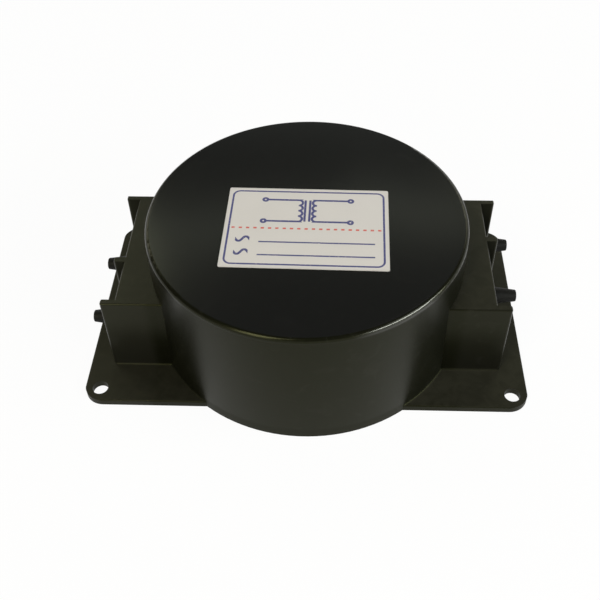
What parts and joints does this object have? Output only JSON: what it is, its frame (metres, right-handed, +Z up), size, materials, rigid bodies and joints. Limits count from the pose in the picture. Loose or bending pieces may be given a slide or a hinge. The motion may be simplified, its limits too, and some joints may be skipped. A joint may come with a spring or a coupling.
{
  "type": "toroidal transformer",
  "caption": "Potted toroidal mains transformer: a coil cast in resin inside a round black moulded case with side wings, lead bushes and a bolt-down flange.",
  "frame": {"origin": "on the drum's axis, in the plane of the flange's underside", "axes": "+Z up along the drum's axis, X along the flange's length through both wings, Y across it"},
  "size_m": [0.181, 0.13, 0.0587],
  "materials": {
    "black_plastic": "satin moulded",
    "resin": "cast, slightly glossy",
    "core_steel": "wound strip",
    "film": "wrapped polyester film",
    "copper": "enamelled copper wire",
    "sleeve": "shrunk sleeve",
    "bush_rubber": "moulded rubber",
    "label_paper": "coated paper"
  },
  "bodies": {
    "root": {"case": "black_plastic", "potting_resin": "resin", "toroid_core": "core_steel", "core_insulation": "film", "primary_winding": "copper", "interwinding_insulation": "film", "secondary_winding": "copper", "outer_insulation": "film", "tail_sleeve_1": "sleeve", "tail_sleeve_2": "sleeve", "tail_sleeve_3": "sleeve", "tail_sleeve_4": "sleeve", "lead_bush_1": "bush_rubber", "lead_bush_2": "bush_rubber", "lead_bush_3": "bush_rubber", "lead_bush_4": "bush_rubber", "rating_label": "label_paper"}
  },
  "joints": []
}
